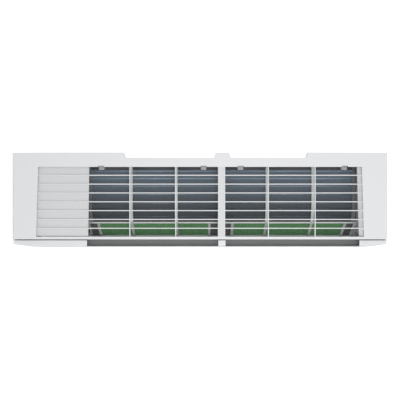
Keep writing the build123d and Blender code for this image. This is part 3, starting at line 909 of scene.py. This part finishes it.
def green_panes(side, middles):
    """The three pleated panes of one filter, in place of their CAD node."""
    fine = resample(filter_line, 0.0, line_length, pane_row_step)
    steep = [spot for spot in fine if pane_low + seat < spot.y < pane_high - seat]
    form = bmesh.new()
    for left, right in zip(middles, middles[1:]):
        add_pane(form, left + rib_half + seat, right - rib_half - seat, steep)
    piece = mesh_piece("pleated_panes_" + side, form, "casing", finishes["pane_green"])
    paper = piece.modifiers.new("paper thickness", "SOLIDIFY")
    paper.thickness = paper_thickness
    paper.offset = 0.0
    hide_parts("green_panes_" + side)
    return piece


for side, limits, far_end in (("left", left_filter, left_filter[0]), ("right", right_filter, intake_half)):
    piece = green_panes(side, rib_middles(limits, far_end))
    print(piece.name, "has", len(piece.data.vertices), "points")

# %% [markdown]
# ## Grips on the tabs
# A finger pushes each small tab to free the filter, so its top has three rounded ridges.
# They lie on the tab's flat top and are sunk into it a little, so that no gap shows below them.

# %% Tab grips
tab_middles = (-219.5, 8.0, 90.5, 321.5)
tab_top = 200.0
ridge_places = (-32.6, -34.6, -36.6)
ridge_half_length = 4.5
ridge_radius = 0.55
ridge_sink = 0.1


def tab_grips():
    """Three ridges on each of the four tabs."""
    form = bmesh.new()
    for middle in tab_middles:
        for place in ridge_places:
            start = (middle - ridge_half_length, place, tab_top - ridge_sink)
            end = (middle + ridge_half_length, place, tab_top - ridge_sink)
            add_strip(form, start, end, up, ridge_radius, ridge_radius)
    return mesh_piece("tab_grips", form, "casing", finishes["clip_grey"])


grips = tab_grips()
print(grips.name, "with", len(tab_middles) * len(ridge_places), "ridges")

# %% [markdown]
# ## Screws on the underside
# Three screws close the bottom of such a unit, behind the outlet.
# A screw head is a low dome with a cross pressed into it, so it is made as a height over a round grid:
# the points inside the cross sink, and the points at the rim come down to the plastic.

# %% Screws
screw_radius = 3.4
screw_height = 1.0
cross_reach = 1.9
cross_half_width = 0.42
cross_depth = 0.6
screw_places = ((-300.0, -88.0), (0.0, -88.0), (300.0, -88.0))


def steel_finish():
    """Plated steel with fine turning marks."""
    return grained_material(
        "screw steel", ((0.62, 0.62, 0.6), (0.5, 0.5, 0.49)), gloss=(0.25, 0.4),
        grains=4000.0, patches=300.0, more={"Metallic": 1.0},
    )


def head_height(x, y):
    """The height of a screw head over its seat at a place on it."""
    away = math.hypot(x, y) / screw_radius
    dome = screw_height * math.sqrt(max(0.0, 1.0 - away ** 4))
    in_cross = min(abs(x), abs(y)) < cross_half_width and max(abs(x), abs(y)) < cross_reach
    return dome - (cross_depth if in_cross else 0.0)


def add_screw(form, x, y, rings=12, spokes=48):
    """One screw head that faces down."""
    level = bottom_height / millimetre
    grid = []
    for ring in range(1, rings + 1):
        radius = screw_radius * ring / rings
        cells = []
        for spoke in range(spokes):
            angle = 2 * math.pi * spoke / spokes
            dx = radius * math.cos(angle)
            dy = radius * math.sin(angle)
            cells.append(form.verts.new((x + dx, y + dy, level - head_height(dx, dy))))
        grid.append(cells)
    middle = form.verts.new((x, y, level - head_height(0.0, 0.0)))
    for spoke in range(spokes):
        after = (spoke + 1) % spokes
        form.faces.new((middle, grid[0][spoke], grid[0][after]))
        for inner, outer in zip(grid, grid[1:]):
            form.faces.new((inner[spoke], outer[spoke], outer[after], inner[after]))


def bottom_screws():
    """The three screw heads, as one piece."""
    form = bmesh.new()
    for x, y in screw_places:
        add_screw(form, x, y)
    return mesh_piece("bottom_screws", form, "casing", steel_finish(), smooth=False)


screws = bottom_screws()
print(screws.name, "with", len(screw_places), "heads")

# %% [markdown]
# ## The floor
# A plain pale floor keeps the eye on the unit. It lies just below the screw heads.
# It has a glow of its own, so that it stays white right up to the unit's edges. What the camera
# sees of the glow is stronger than what falls on the unit, or the front would burn out.
# From below the floor is clear, so that the underside can be looked at.

# %% Floor
floor_half = 6.0
floor_gap = 0.2
glow_on_part = 0.25
glow_in_view = 0.75
floor_tones = ((0.86, 0.86, 0.86), (0.84, 0.84, 0.84))


def floor_finish():
    """Matt white paper that looks brighter than it shines, and that can't be seen from below."""
    material, tree, shader = start_material("floor paper")
    in_view = add_node(tree, "ShaderNodeLightPath").outputs["Is Camera Ray"]
    span = {"Value": in_view, "To Min": glow_on_part, "To Max": glow_in_view}
    glow = add_node(tree, "ShaderNodeMapRange", span).outputs["Result"]
    colour = two_tones(tree, floor_tones, patches=3.0)
    set_inputs(tree, shader, {"Base Color": colour, "Roughness": 0.9})
    set_inputs(tree, shader, {"Emission Color": white, "Emission Strength": glow})
    below = add_node(tree, "ShaderNodeNewGeometry").outputs["Backfacing"]
    clear = add_node(tree, "ShaderNodeBsdfTransparent").outputs["BSDF"]
    either = add_node(tree, "ShaderNodeMixShader", {"Fac": below, 1: shader.outputs["BSDF"], 2: clear})
    set_inputs(tree, tree.nodes["Material Output"], {"Surface": either.outputs["Shader"]})
    return material


floor_level = bottom_height - (screw_height + floor_gap) * millimetre
corner_signs = ((-1, -1), (1, -1), (1, 1), (-1, 1))
floor_corners = [(x * floor_half, y * floor_half, floor_level) for x, y in corner_signs]
floor_mesh = bpy.data.meshes.new("floor")
floor_mesh.from_pydata(floor_corners, [], [(0, 1, 2, 3)])
floor_mesh.materials.append(floor_finish())
floor = bpy.data.objects.new("floor", floor_mesh)
scene.collection.objects.link(floor)
print("floor at", round(floor_level, 4))
